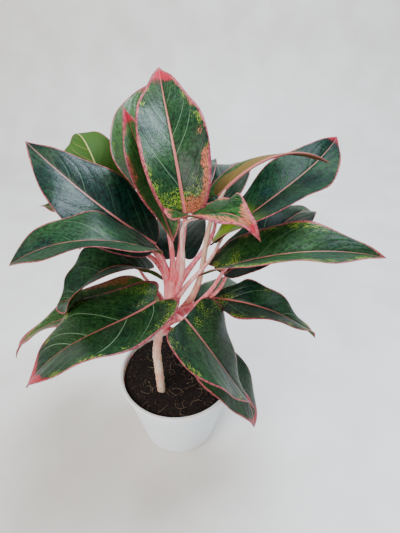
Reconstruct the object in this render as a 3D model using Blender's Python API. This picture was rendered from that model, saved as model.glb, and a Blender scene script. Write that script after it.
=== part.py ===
"""Potted Chinese evergreen: a cane with long-stalked leaves, standing in soil in a white plastic pot.

Every size is in millimetres until the last step, where MM turns it to metres. The origin is the
middle of the pot's underside, +Z is up and the pot stands on z = 0.
"""
import math

import bpy
import numpy as np

MM = 0.001
GAP = 0.3                    # clearance between neighbouring solids

# Pot: a five-inch nursery pot
POT_HEIGHT = 97.0
RIM_RADIUS = 62.5            # outside of the rolled rim
RIM_DEPTH = 5.0              # height of the rolled rim
BASE_RADIUS = 43.5           # outside, at the underside
SHOULDER_RADIUS = 60.0       # outside of the wall just under the rim
WALL = 1.8
FLOOR = 2.5
FOOT_ROUND = 3.0
FOOT_BEVEL = 0.8
LIP_ROUND = 1.2
TURN_STEPS = 36              # facets round the pot and the soil
DRAIN_HOLES = 6
DRAIN_RADIUS = 4.0
DRAIN_CIRCLE = 28.0

# Soil
SOIL_TOP = 91.5
SOIL_SWELL = 1.2             # height of the uneven surface's humps
SOIL_EDGE = 1.5              # how far the surface settles by the wall
SOIL_RINGS = (50, 40, 28, 14, 0)

# Cane: the points that its middle line passes through, from its foot in the soil to its crown
CANE_LINE = np.array([
    (-16, -23, 44), (-16, -23, 70), (-16, -23, 92), (-17, -22, 126), (-17, -21, 154),
    (-12, -19, 178), (-5, -16, 198), (-1, -14, 216), (1, -13, 232)], float)
CANE_RADIUS = 4.3
CROWN_RADIUS = 3.4
CANE_SIDES = 10
CANE_RINGS = 34
NODE_SPACING = 11.0          # between the ring scars of fallen leaves
NODE_BULGE = 0.5

# Leaf stalks
STALK_SIDES = 6
STALK_RINGS = 9
CLASP = 2.8                   # from the cane's middle line to where a stalk starts
SHEATH_RADIUS = 3.8          # where a stalk clasps the cane
SHEATH_SHARE = 0.45          # of the stalk's length
SHEATH_FOOT = 0.6            # how far its foot is narrowed
STALK_RADIUS = 2.1
STALK_TIP_RADIUS = 1.5

# Leaf blades
BLADE_THICKNESS = 0.7
RIB_DEPTH = 1.1              # how far the midrib stands out below the blade
ALONG = np.array([0, 0.025, 0.075, 0.15, 0.25, 0.36, 0.48, 0.60, 0.72, 0.84, 0.94, 1])
ACROSS = np.array([-1, -0.68, -0.34, -0.07, 0, 0.07, 0.34, 0.68, 1])
LOBE_REACH = 0.07            # fraction of the length where the basal lobes are fullest


def leaf(base, tip, node, arch=14, early=0.2, bend=0, roll=0, twist=0, width=60, fold=16, curl=-10,
         lobe=8, wave=2, ripples=2.5, full=0.5, taper=1.05, swing=0.1, lift=0.5, stout=1.0):
    """One leaf. base and tip are the ends of its blade and node is the height on the cane where
    its stalk starts, all in millimetres. arch and bend are how far the midrib bows up and sideways
    between them, and early from -1 to 1 moves the bow from the tip's end to the base's. roll and
    twist turn the blade about its midrib, in degrees, fold is the rise of its halves at the midrib
    and curl is how far they turn back by their margins. lobe is how far the base reaches behind
    the stalk, and wave and ripples are the height and number of the margin's waves. full and taper
    shape the outline: the larger full is, the narrower the base, and the larger taper is, the
    longer the tip. swing is how far the stalk leaves the cane sideways, lift how steeply it comes
    up under the blade, and stout how thick it is against the others."""
    return dict(base=np.array(base, float), tip=np.array(tip, float), node=node, arch=arch,
                early=early, bend=bend, roll=math.radians(roll), twist=math.radians(twist),
                width=width, fold=math.radians(fold), curl=math.radians(curl), lobe=lobe,
                wave=wave, ripples=ripples, full=full, taper=taper, swing=swing, lift=lift,
                stout=stout)


LEAVES = (
    # the upright leaf at the crown, and the ones that stand behind it
    leaf((13, -10, 298), (-11, 101, 381), 228, arch=20, early=0.5, bend=-3, roll=-4, twist=-4,
         width=57, fold=24, curl=-8, lobe=1, full=0.57, taper=1.1, stout=0.75),
    leaf((-4, 24, 280), (-26, 137, 358), 218, arch=0, bend=-18, roll=33, twist=-20, width=69,
         fold=17, lobe=6),
    leaf((3, -8, 270), (-39, 60, 360), 224, arch=0, roll=-4, twist=-42, width=42, fold=39,
         lobe=0, full=0.95, taper=1.3, stout=0.75),
    leaf((-49, 50, 262), (-101, 115, 316), 206, arch=24, early=-0.9, bend=-6, roll=170, twist=-7,
         width=62, fold=12, full=0.53, taper=0.96),
    # the fan on the left
    leaf((-14, 12, 254), (-124, 52, 333), 213, arch=8, early=-0.2, bend=-14, roll=-22, twist=-14,
         width=67, fold=12, curl=-14, lobe=4, full=0.66, taper=1.16),
    leaf((-6, -10, 260), (-115, -50, 277), 204, arch=27, early=-0.2, bend=-15, roll=5, twist=-16,
         width=61, fold=21, curl=-8, lobe=-4, full=0.72, taper=0.87),
    leaf((-26, 10, 225), (-106, -8, 203), 192, arch=26, early=0.9, bend=-14, roll=4, twist=-22,
         width=64, fold=26, curl=-6, lobe=11, full=0.6, taper=0.75),
    leaf((-18, 14, 192), (-163, -14, 131), 177, arch=36, early=-0.3, bend=-18, roll=3, twist=14,
         width=62, fold=19, curl=-4, lobe=0, full=0.42, taper=1.8),
    leaf((-14, -24, 218), (-113, -88, 184), 184, arch=19, early=-0.7, bend=-6, roll=4, twist=38,
         width=78, fold=14, curl=-12, lobe=22, full=0.72, taper=0.9),
    # the ones that hang over the front of the pot
    leaf((12, -41, 215), (77, -64, 118), 181, arch=6, early=0.3, bend=6, roll=-8, twist=-40,
         width=76, fold=14, lobe=7, full=0.38, taper=1.4),
    leaf((16, -16, 166), (84, -42, 49), 173, arch=14, early=-0.6, bend=-2, roll=5, twist=13,
         fold=5, curl=-16),
    # the right side
    leaf((37, 8, 194), (139, -11, 158), 180, arch=25, early=0, bend=15, roll=2, twist=-50, width=49,
         fold=22, lobe=-10, full=0.41, taper=0.98),
    leaf((42, -8, 241), (182, -12, 256), 187, arch=16, early=0, bend=5, roll=2, twist=40, width=62,
         fold=28, curl=-6, lobe=20, full=0.62, taper=1.2, swing=1.8, lift=0.8, stout=1.1),
    leaf((38, 3, 262), (155, 93, 322), 198, arch=10, early=0.7, bend=14, roll=-10, twist=88,
         width=65, fold=14, lobe=10, full=0.66, taper=0.96),
    leaf((40, 9, 302), (138, 49, 314), 184, arch=28, bend=12, roll=-109, twist=-32, width=42,
         fold=84, curl=16, lobe=16, full=0.4, taper=1.22, swing=2, stout=1.05),
    leaf((37, 34, 268), (77, 127, 280), 208, arch=19, roll=-18, twist=6, width=57, fold=20, curl=-8),
    leaf((13, 19, 288), (39, 114, 288), 216, arch=16, width=34),
    leaf((18, -20, 302), (65, -64, 307), 218, arch=14, early=-0.9, bend=2, twist=30, width=54,
         fold=20, lobe=9, full=0.35, taper=1.2, swing=0.4, stout=0.8),
    leaf((46, -2, 230), (147, 94, 238), 188, arch=22, early=-0.7, bend=6, roll=-6, twist=22,
         width=60, fold=15, lobe=6, full=0.48, taper=1, swing=1, lift=1.2),
    # the back: two that turn their edges forward, and the three lowest, which hang behind
    leaf((-62, 52, 253), (-138, 77, 257), 218, arch=4, width=30, lift=0.1),
    leaf((-60, 50, 239), (-113, 95, 190), 214, arch=12, width=40, lift=0),
    leaf((4, 28, 228), (6, 132, 200), 196, arch=20, width=54),
    leaf((30, 25, 165), (95, 100, 120), 172, arch=14, width=50),
    leaf((-30, 24, 168), (-100, 86, 112), 171, arch=18, width=52),
)


def clear_scene():
    for item in list(bpy.data.objects):
        bpy.data.objects.remove(item, do_unlink=True)


def finish(name, colour, roughness):
    """A Principled material, with its colour in linear RGB."""
    material = bpy.data.materials.new(name)
    material.use_nodes = True
    shader = material.node_tree.nodes["Principled BSDF"]
    shader.inputs["Base Color"].default_value = (*colour, 1.0)
    shader.inputs["Roughness"].default_value = roughness
    shader.inputs["Metallic"].default_value = 0.0
    return material


def add_solid(name, points, faces, material, at=(0, 0, 0)):
    """An object from points and faces in millimetres, with its own origin at the point `at`."""
    at = np.asarray(at, float)
    mesh = bpy.data.meshes.new(name)
    mesh.from_pydata(((np.asarray(points) - at) * MM).tolist(), [], faces)
    mesh.materials.append(material)
    mesh.shade_smooth()
    mesh.set_sharp_from_angle(angle=math.radians(40))
    solid = bpy.data.objects.new(name, mesh)
    solid.location = at * MM
    bpy.context.collection.objects.link(solid)
    return solid


def join_solids(base, others):
    """Fuses the other objects into base with one Boolean union and removes them."""
    group = bpy.data.collections.new(base.name + "_pieces")
    for item in others:
        group.objects.link(item)
    bpy.context.view_layer.update()
    union = base.modifiers.new("Union", "BOOLEAN")
    union.operation = "UNION"
    union.solver = "MANIFOLD"
    union.operand_type = "COLLECTION"
    union.collection = group
    fused = bpy.data.meshes.new_from_object(base.evaluated_get(bpy.context.evaluated_depsgraph_get()))
    base.modifiers.clear()
    base.data = fused
    for item in others:
        bpy.data.objects.remove(item, do_unlink=True)
    bpy.data.collections.remove(group)


def unit(vectors):
    return vectors / np.linalg.norm(vectors, axis=-1, keepdims=True)


# ---- leaf blades ----------------------------------------------------------------------------

def midrib_point(shape, along):
    """Middle line of a blade: the chord from base to tip plus an upward and a sideways bow. The
    upward bow blends 4a(1-a), fullest in the middle, with a cubic that is fullest at a third."""
    chord = shape["tip"] - shape["base"]
    side = unit(np.cross(chord, (0, 0, 1)))
    up = unit(np.cross(side, chord))
    a = np.asarray(along, float)[..., None]
    even = 4 * a * (1 - a)
    near_base = 6.75 * a * (1 - a) ** 2
    near_tip = 6.75 * a ** 2 * (1 - a)
    skewed = near_base if shape["early"] > 0 else near_tip
    share = abs(shape["early"])
    bow = (1 - share) * even + share * skewed
    return shape["base"] + chord * a + up * shape["arch"] * bow + side * shape["bend"] * even


def midrib_frame(shape, along):
    """Unit vectors along the midrib, to the blade's right and out of its upper face."""
    step = 0.001
    ahead = unit(midrib_point(shape, along + step) - midrib_point(shape, along - step))
    level = unit(np.cross(shape["tip"] - shape["base"], (0, 0, 1)))
    side = unit(level - (ahead @ level)[..., None] * ahead)
    out = np.cross(side, ahead)
    turn = (shape["roll"] + shape["twist"] * (np.clip(along, 0, 1) - 0.4))[..., None]
    return ahead, np.cos(turn) * side - np.sin(turn) * out, np.sin(turn) * side + np.cos(turn) * out


def blade_point(shape, along, across):
    """Middle surface of a blade. The half width is proportional to s^full (1-s)^taper. Each half
    leaves the midrib at the fold angle and curls by its margin as an arc, the margin's waves grow
    with the square of the way across, and the rows by the base sweep back into the lobes."""
    s, v = np.broadcast_arrays(np.asarray(along, float), np.asarray(across, float))
    reach = np.abs(v)
    length = np.linalg.norm(shape["tip"] - shape["base"])
    sweep = (s / LOBE_REACH) * np.exp(1 - s / LOBE_REACH) * reach ** 1.3
    place = s - shape["lobe"] / length * sweep
    full, taper = shape["full"], shape["taper"]
    peak = full / (full + taper)
    half = shape["width"] / 2 * (s ** full * (1 - s) ** taper) / (peak ** full * (1 - peak) ** taper)
    fold, curl = shape["fold"], shape["curl"]
    sideways = np.sign(v) * half * (np.sin(fold + curl * reach) - np.sin(fold)) / curl
    rise = half * (np.cos(fold) - np.cos(fold + curl * reach)) / curl
    swing = np.sin(2 * math.pi * shape["ripples"] * s + 0.8 * np.sign(v))
    rise = rise + shape["wave"] * reach ** 2 * swing * np.minimum(1, 8 * s * (1 - s))
    ahead, side, out = midrib_frame(shape, place)
    return midrib_point(shape, place) + side * sideways[..., None] + out * rise[..., None]


def blade_normal(shape, along, across):
    """Direction out of the upper face, from the surface's own slopes."""
    s = np.clip(along, 0.01, 0.99)
    v = np.clip(across, -0.98, 0.98)
    step = 0.004
    down_leaf = blade_point(shape, s + step, v) - blade_point(shape, s - step, v)
    over_leaf = blade_point(shape, s, v + step) - blade_point(shape, s, v - step)
    return unit(np.cross(over_leaf, down_leaf))


def rib_depth(along, across):
    """The midrib under the blade: deepest at the base, thinning evenly to the tip."""
    return RIB_DEPTH * (1 - 0.85 * along) * (np.abs(across) < 0.01)


def blade_faces(rows, columns):
    """Triangles of a slab over a grid whose first and last rows each shrink to one point. The
    lower face repeats the upper one's triangles, turned over, and a strip closes the margin."""
    last = 1 + (rows - 2) * columns

    def corner(row, column):
        if row == 0:
            return 0
        if row == rows - 1:
            return last
        return 1 + (row - 1) * columns + column

    upper = []
    for row in range(rows - 1):
        for column in range(columns - 1):
            a, b = corner(row, column), corner(row, column + 1)
            c, d = corner(row + 1, column + 1), corner(row + 1, column)
            if column < (columns - 1) // 2:
                pair = ((a, b, c), (a, c, d))
            else:
                pair = ((a, b, d), (b, c, d))
            upper += [face for face in pair if len(set(face)) == 3]
    count = last + 1
    lower = [(c + count, b + count, a + count) for a, b, c in upper]
    strip = []
    for row in range(rows - 1):
        for column, turned in ((0, False), (columns - 1, True)):
            a, b = corner(row, column), corner(row + 1, column)
            quad = (a, b, b + count, a + count)
            strip.append(quad[::-1] if turned else quad)
    return upper + lower + strip


def add_blade(name, shape, material):
    """A blade of even thickness about its middle surface, with the midrib standing out below."""
    rows, columns = len(ALONG), len(ACROSS)
    inner = ALONG[1:-1]
    along = np.concatenate(([0.0], np.repeat(inner, columns), [1.0]))
    across = np.concatenate(([0.0], np.tile(ACROSS, rows - 2), [0.0]))
    middle = blade_point(shape, along, across)
    normal = blade_normal(shape, along, across)
    above = middle + normal * BLADE_THICKNESS / 2
    below = middle - normal * (BLADE_THICKNESS / 2 + rib_depth(along, across)[:, None])
    points = np.concatenate((above, below))
    return add_solid(name, points, blade_faces(rows, columns), material, shape["base"])


# ---- cane and leaf stalks -------------------------------------------------------------------

def smooth_line(points, steps):
    """Evenly spaced points on a Catmull-Rom curve through the given ones."""
    padded = np.vstack((2 * points[0] - points[1], points, 2 * points[-1] - points[-2]))
    pieces = []
    for first in range(len(points) - 1):
        p, q, r, s = padded[first:first + 4]
        t = np.linspace(0, 1, 20, endpoint=False)[:, None]
        pieces.append(0.5 * (2 * q + (r - p) * t + (2 * p - 5 * q + 4 * r - s) * t ** 2
                             + (3 * q - p - 3 * r + s) * t ** 3))
    line = np.vstack(pieces + [points[-1:]])
    length = np.concatenate(([0], np.cumsum(np.linalg.norm(np.diff(line, axis=0), axis=1))))
    even = np.linspace(0, length[-1], steps)
    return np.column_stack([np.interp(even, length, line[:, axis]) for axis in range(3)]), even


def tube(line, radii, sides):
    """Points and faces of a closed tube round a line, with a flat cap at each end."""
    ahead = unit(np.gradient(line, axis=0))
    start = unit(np.cross(ahead[0], (0.3, 0.9, 0.2)))
    angles = np.arange(sides) * 2 * math.pi / sides
    rings = []
    side = start
    for point, direction, radius in zip(line, ahead, radii):
        side = unit(side - (side @ direction) * direction)
        other = np.cross(direction, side)
        turn = np.cos(angles)[:, None] * side + np.sin(angles)[:, None] * other
        rings.append(point + radius * turn)
    faces = [tuple(range(sides))[::-1]]
    for ring in range(len(line) - 1):
        for step in range(sides):
            a = ring * sides + step
            b = ring * sides + (step + 1) % sides
            faces.append((a, b, b + sides, a + sides))
    top = (len(line) - 1) * sides
    faces.append(tuple(range(top, top + sides)))
    return np.vstack(rings), faces


def cane_radius(run):
    """Full by the soil and slimmer at the crown, with a narrow ring at each leaf scar."""
    total = run[-1]
    slim = CANE_RADIUS + (CROWN_RADIUS - CANE_RADIUS) * np.clip(run / total, 0, 1) ** 2
    scar = np.maximum(0, np.cos(2 * math.pi * run / NODE_SPACING)) ** 4
    return slim + NODE_BULGE * scar


def stalk_line(shape):
    """A stalk's middle line: a cubic curve that leaves the cane's side, along the cane or swung
    outwards, and runs in under the base of its blade, a hair clear of the rib."""
    line, _ = smooth_line(CANE_LINE, 200)
    heights = shape["node"] + np.array((-2.0, 0.0, 2.0))
    below, middle, above = np.column_stack(
        [np.interp(heights, line[:, 2], line[:, axis]) for axis in range(3)])
    outward = unit((shape["base"] - middle) * (1, 1, 0))
    start = middle + outward * CLASP
    ahead, _, out = (vector[0] for vector in midrib_frame(shape, np.array([0.0])))
    under = BLADE_THICKNESS / 2 + RIB_DEPTH + GAP + STALK_TIP_RADIUS * shape["stout"]
    end = shape["base"] - out * under + ahead * 1.0
    reach = np.linalg.norm(end - start)
    leave = start + unit(unit(above - below) + shape["swing"] * outward) * reach * 0.45
    arrive = end - unit(ahead + shape["lift"] * out) * reach * 0.35
    t = np.linspace(0, 1, STALK_RINGS)[:, None]
    return ((1 - t) ** 3 * start + 3 * (1 - t) ** 2 * t * leave + 3 * (1 - t) * t ** 2 * arrive
            + t ** 3 * end)


def stalk_radius(stout):
    """Rounded off where the stalk clasps the cane, widest in its sheath, then an even taper to
    the blade."""
    t = np.linspace(0, 1, STALK_RINGS)
    sheath = np.minimum(1, t / SHEATH_SHARE)
    slim = np.maximum(0, (t - SHEATH_SHARE) / (1 - SHEATH_SHARE))
    radius = (SHEATH_RADIUS + (STALK_RADIUS - SHEATH_RADIUS) * sheath
              + (STALK_TIP_RADIUS - STALK_RADIUS) * slim)
    radius[0] *= SHEATH_FOOT
    return stout * radius


def add_stem(shapes, material):
    """The cane with every leaf's stalk fused into it."""
    line, run = smooth_line(CANE_LINE, CANE_RINGS)
    cane = add_solid("stem", *tube(line, cane_radius(run), CANE_SIDES), material)
    stalks = []
    for number, shape in enumerate(shapes, start=1):
        points, faces = tube(stalk_line(shape), stalk_radius(shape["stout"]), STALK_SIDES)
        stalks.append(add_solid("stalk_%02d" % number, points, faces, material))
    join_solids(cane, stalks)
    return cane


# ---- pot and soil ---------------------------------------------------------------------------

def turned(profile, steps):
    """Points and faces of a closed outline turned about Z. The outline runs anticlockwise seen
    with the radius to the right and Z up, and may start and end on the axis."""
    angles = np.arange(steps) * 2 * math.pi / steps
    points = []
    rows = []
    for radius, height in profile:
        if radius == 0:
            rows.append([len(points)] * steps)
            points.append((0, 0, height))
            continue
        rows.append(list(range(len(points), len(points) + steps)))
        points += [(radius * math.cos(a), radius * math.sin(a), height) for a in angles]
    faces = []
    pairs = list(zip(rows, rows[1:]))
    if profile[0][0] != 0:
        pairs.append((rows[-1], rows[0]))
    for low, high in pairs:
        for step in range(steps):
            after = (step + 1) % steps
            ring = (low[step], low[after], high[after], high[step])
            face = tuple(dict.fromkeys(ring))
            if len(face) > 2:
                faces.append(face)
    return points, faces


def wall_radius(height):
    """Outside radius of the tapered wall."""
    top = POT_HEIGHT - RIM_DEPTH
    return BASE_RADIUS + (SHOULDER_RADIUS - BASE_RADIUS) * height / top


def add_pot(material):
    """The wall, the floor and the rim rolled outwards, turned as one profile, with drain holes."""
    top = POT_HEIGHT - RIM_DEPTH
    inner = SHOULDER_RADIUS - WALL
    profile = [
        (0, 0), (BASE_RADIUS - FOOT_ROUND, 0), (BASE_RADIUS - FOOT_BEVEL, FOOT_BEVEL),
        (wall_radius(FOOT_ROUND), FOOT_ROUND), (SHOULDER_RADIUS, top),
        (RIM_RADIUS - FOOT_BEVEL, top), (RIM_RADIUS, top + FOOT_BEVEL),
        (RIM_RADIUS, POT_HEIGHT - LIP_ROUND), (RIM_RADIUS - LIP_ROUND, POT_HEIGHT),
        (inner + LIP_ROUND, POT_HEIGHT), (inner, POT_HEIGHT - LIP_ROUND), (inner, top),
        (wall_radius(FLOOR) - WALL, FLOOR), (0, FLOOR)]
    pot = add_solid("pot", *turned(profile, TURN_STEPS), material)
    drills = []
    for hole in range(DRAIN_HOLES):
        angle = (hole + 0.5) * 2 * math.pi / DRAIN_HOLES
        drill = add_solid("drill_%d" % hole, *turned(
            [(0, -5), (DRAIN_RADIUS, -5), (DRAIN_RADIUS, FLOOR + 5), (0, FLOOR + 5)], 10), material)
        drill.location = (DRAIN_CIRCLE * math.cos(angle) * MM, DRAIN_CIRCLE * math.sin(angle) * MM, 0)
        drills.append(drill)
    cut_holes(pot, drills)
    return pot


def cut_holes(solid, cutters):
    """Takes the cutters out of the solid and removes them."""
    for cutter in cutters:
        cutter.display_type = "WIRE"
        cutter.hide_render = True
        hole = solid.modifiers.new("Hole", "BOOLEAN")
        hole.operation = "DIFFERENCE"
        hole.object = cutter
    bpy.context.view_layer.update()
    cut = bpy.data.meshes.new_from_object(solid.evaluated_get(bpy.context.evaluated_depsgraph_get()))
    solid.modifiers.clear()
    solid.data = cut
    for cutter in cutters:
        bpy.data.objects.remove(cutter, do_unlink=True)


def soil_height(x, y):
    """The settled surface: low humps where waves in three directions meet."""
    humps = np.sin(x / 9 + 1) + np.sin(y / 7.5 + x / 20) + np.sin((x - y) / 11 + 2)
    return SOIL_TOP + SOIL_SWELL * humps / 3


def add_soil(material):
    """A plug that fills the pot from its floor, with a plain hole that the cane stands in."""
    low = FLOOR + GAP
    top_radius = SHOULDER_RADIUS - WALL - GAP
    low_radius = wall_radius(low) - WALL - GAP
    shoulder = POT_HEIGHT - RIM_DEPTH
    rim_level = SOIL_TOP - SOIL_EDGE
    edge_radius = low_radius + (top_radius - low_radius) * (rim_level - low) / (shoulder - low)
    profile = [(0, low), (low_radius, low), (edge_radius, rim_level)]
    for radius in SOIL_RINGS:
        profile.append((radius, SOIL_TOP))
    points, faces = turned(profile, TURN_STEPS)
    points = np.array(points, float)
    top = points[:, 2] == SOIL_TOP
    points[top, 2] = soil_height(points[top, 0], points[top, 1])
    soil = add_solid("soil", points, faces, material)
    foot = CANE_LINE[0] - (0, 0, GAP)
    line = np.array([foot, (foot[0], foot[1], SOIL_TOP + 20)])
    radius = (CANE_RADIUS + NODE_BULGE + GAP) / math.cos(math.pi / CANE_SIDES)
    hole = add_solid("cane_hole", *tube(line, (radius, radius), CANE_SIDES), material)
    cut_holes(soil, [hole])
    return soil


def build():
    clear_scene()
    leaf_green = finish("leaf_green", (0.020, 0.075, 0.032), 0.35)
    stem_pink = finish("stem_pink", (0.62, 0.28, 0.24), 0.45)
    soil_brown = finish("soil_brown", (0.020, 0.012, 0.010), 0.95)
    pot_white = finish("pot_white", (0.78, 0.80, 0.83), 0.35)
    add_pot(pot_white)
    add_soil(soil_brown)
    add_stem(LEAVES, stem_pink)
    for number, shape in enumerate(LEAVES, start=1):
        add_blade("leaf_%02d" % number, shape, leaf_green)


build()
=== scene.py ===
"""Looks of a potted Chinese evergreen: mottled leaves with pink ribs and margins, a ringed cane
with pink stalks, coir potting mix and a thin white nursery pot.

Lengths are worked out in millimetres, as the leaf table gives them, and MM turns them to metres.
The origin is the middle of the pot's underside, +Z is up and the pot stands on z = 0.
"""

import math

import bpy
import numpy as np
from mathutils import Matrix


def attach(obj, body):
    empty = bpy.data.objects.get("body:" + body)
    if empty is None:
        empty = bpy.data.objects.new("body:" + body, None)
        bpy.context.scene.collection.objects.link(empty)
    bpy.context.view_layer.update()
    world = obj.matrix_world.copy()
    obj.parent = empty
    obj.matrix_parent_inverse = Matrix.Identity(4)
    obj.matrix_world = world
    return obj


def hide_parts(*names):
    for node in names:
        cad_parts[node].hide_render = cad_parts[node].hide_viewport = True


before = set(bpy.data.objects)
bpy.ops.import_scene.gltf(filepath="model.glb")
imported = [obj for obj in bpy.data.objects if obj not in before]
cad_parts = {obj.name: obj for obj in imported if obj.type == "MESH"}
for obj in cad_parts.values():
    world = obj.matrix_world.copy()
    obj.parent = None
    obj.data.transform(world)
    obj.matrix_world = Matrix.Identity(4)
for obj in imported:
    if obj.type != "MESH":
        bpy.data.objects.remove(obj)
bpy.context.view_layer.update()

MM = 0.001

# Pot
POT_HEIGHT = 97.0
RIM_RADIUS = 62.5
RIM_DEPTH = 5.0
LIP_RADIUS = 1.4             # rounding of the rim's upper edge
EDGE_RADIUS = 0.8            # rounding of its lower edge
FOOT_RADIUS = 3.0            # rounding of the pot's foot
BASE_RADIUS = 43.5
SHOULDER_RADIUS = 60.0       # of the wall, just under the rim
POT_WALL = 1.1
POT_FLOOR = 2.0
POT_SIDES = 144
DRAIN_HOLES = 6
DRAIN_RADIUS = 4.0
DRAIN_CIRCLE = 28.0

# Soil
SOIL_TOP = 91.5
SOIL_SWELL = 1.2
SOIL_GAP = 0.3               # to the pot's wall
SETTLE_DEPTH = 1.2           # how far its top sinks by the wall
SETTLE_WIDTH = 7.0
SOIL_FOOT = POT_FLOOR + 0.6
SOIL_SIDES = 200
SOIL_RINGS = 84              # on its upper side
FIBRES = 75
CHIPS = 420

# Cane and stalks
CANE_LINE = np.array([
    (-16, -23, 44), (-16, -23, 70), (-16, -23, 92), (-17, -22, 126), (-17, -21, 154),
    (-12, -19, 178), (-5, -16, 198), (-1, -14, 216), (1, -13, 232)], float)
CANE_RADIUS = 4.3
CROWN_RADIUS = 3.4
SCAR_HEIGHT = 0.45
NODE_SPACING = 11.0          # from one leaf scar to the next
CLASP = 2.8                  # from the cane's middle line to where a stalk starts
SHEATH_RADIUS = 3.8
SHEATH_SHARE = 0.45          # of a stalk's length
STALK_RADIUS = 2.1
STALK_TIP_RADIUS = 1.5
STALK_SUNK = 9.0             # how far past the blade's base a stalk ends, up in the keel
STALK_ROWS = 44              # before it rises into the keel
STALK_SIDES = 14

# Leaf blades
BLADE_THICKNESS = 0.7
RIB_DEPTH = 1.1              # of the keel below
FURROW_DEPTH = 0.55          # of the midrib above
FIELD_SWELL = 0.22           # between the side veins
LOBE_REACH = 0.07            # share of the length where the basal lobes sweep back most
BLADE_ROWS = 84
BLADE_COLUMNS = 57
VEINS = 9                    # side veins on each half of a blade
VEIN_SLANT = 0.6             # the distance square to the veins over that along the midrib
STREAK_LENGTH = 7.0
FLECK_LENGTH = 1.6
MOTTLE_SIZE = 2.6


def colour(code):
    """Linear RGBA from an sRGB hex code."""
    parts = np.array([int(code[i:i + 2], 16) for i in (1, 3, 5)]) / 255
    linear = np.where(parts <= 0.04045, parts / 12.92, ((parts + 0.055) / 1.055) ** 2.4)
    return (*linear.tolist(), 1.0)


def leaf(base, tip, node, arch=14, early=0.2, bend=0, roll=0, twist=0, width=60, fold=16, curl=-10,
         lobe=8, wave=2, ripples=2.5, full=0.5, taper=1.05, swing=0.1, lift=0.5, stout=1.0,
         tone=0.3, edge=1.3, blush=0.2, speckle=0.3, flush=0.5, vein=0.4, rust=0.0, lean=0.0,
         rib="#94564E", pale=0.15, olive=0.0, girth=1.0, wax=0.0, sheen=0.3, backlight_glow=0.0,
         fade=0.0):
    """One leaf, in millimetres and degrees.

    Its blade runs from base to tip. arch and bend bow the midrib up and sideways, and early puts
    the upward bow's peak nearer the base, or nearer the tip if it is negative. roll turns the
    blade about its midrib and twist winds it from base to tip. width is its greatest width, full
    and taper set how it swells and tapers, fold and curl how steeply its halves rise and how they
    bend by the margin, lobe how far the basal lobes reach back, and wave and ripples how high and
    how many the margin's waves are. Its stalk starts at the height node on the cane, swings
    outwards by swing, rises by lift where it meets the blade and has stout times the usual girth.

    tone runs from blue-green to grass green. edge is the width of the pink margin, girth half the
    midrib's width at its base and rib the midrib's colour towards the tip. blush is the salmon
    mottling inside the margin: lean, from -1 to 1, says which half has most of it, and fade how
    far it dies out towards the tip. speckle is the yellow-green flecks, flush the red of the tip,
    vein how pale the side veins are, rust how brown the underside is, and the glow how
    yellow-green the base is painted, a painted glow that stands in for light shining through the
    blade. sheen is the skin's own gloss and wax that of a clear coat on it. The stalk
    turns from rose to straw by pale, and towards green by olive. The length and the number of
    side veins give field, the distance from one vein to the next."""
    return dict(base=np.array(base, float), tip=np.array(tip, float), node=node, arch=arch,
                early=early, bend=bend, roll=math.radians(roll), twist=math.radians(twist),
                width=width, fold=math.radians(fold), curl=math.radians(curl), lobe=lobe,
                wave=wave, ripples=ripples, full=full, taper=taper, swing=swing, lift=lift,
                stout=stout, tone=tone, edge=edge, blush=blush, speckle=speckle, flush=flush,
                vein=vein, rust=rust, lean=lean, rib=colour(rib), pale=pale, olive=olive,
                girth=girth, wax=wax, sheen=sheen, backlight_glow=backlight_glow, fade=fade,
                field=np.linalg.norm(np.subtract(tip, base)) / VEINS * VEIN_SLANT)


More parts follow.
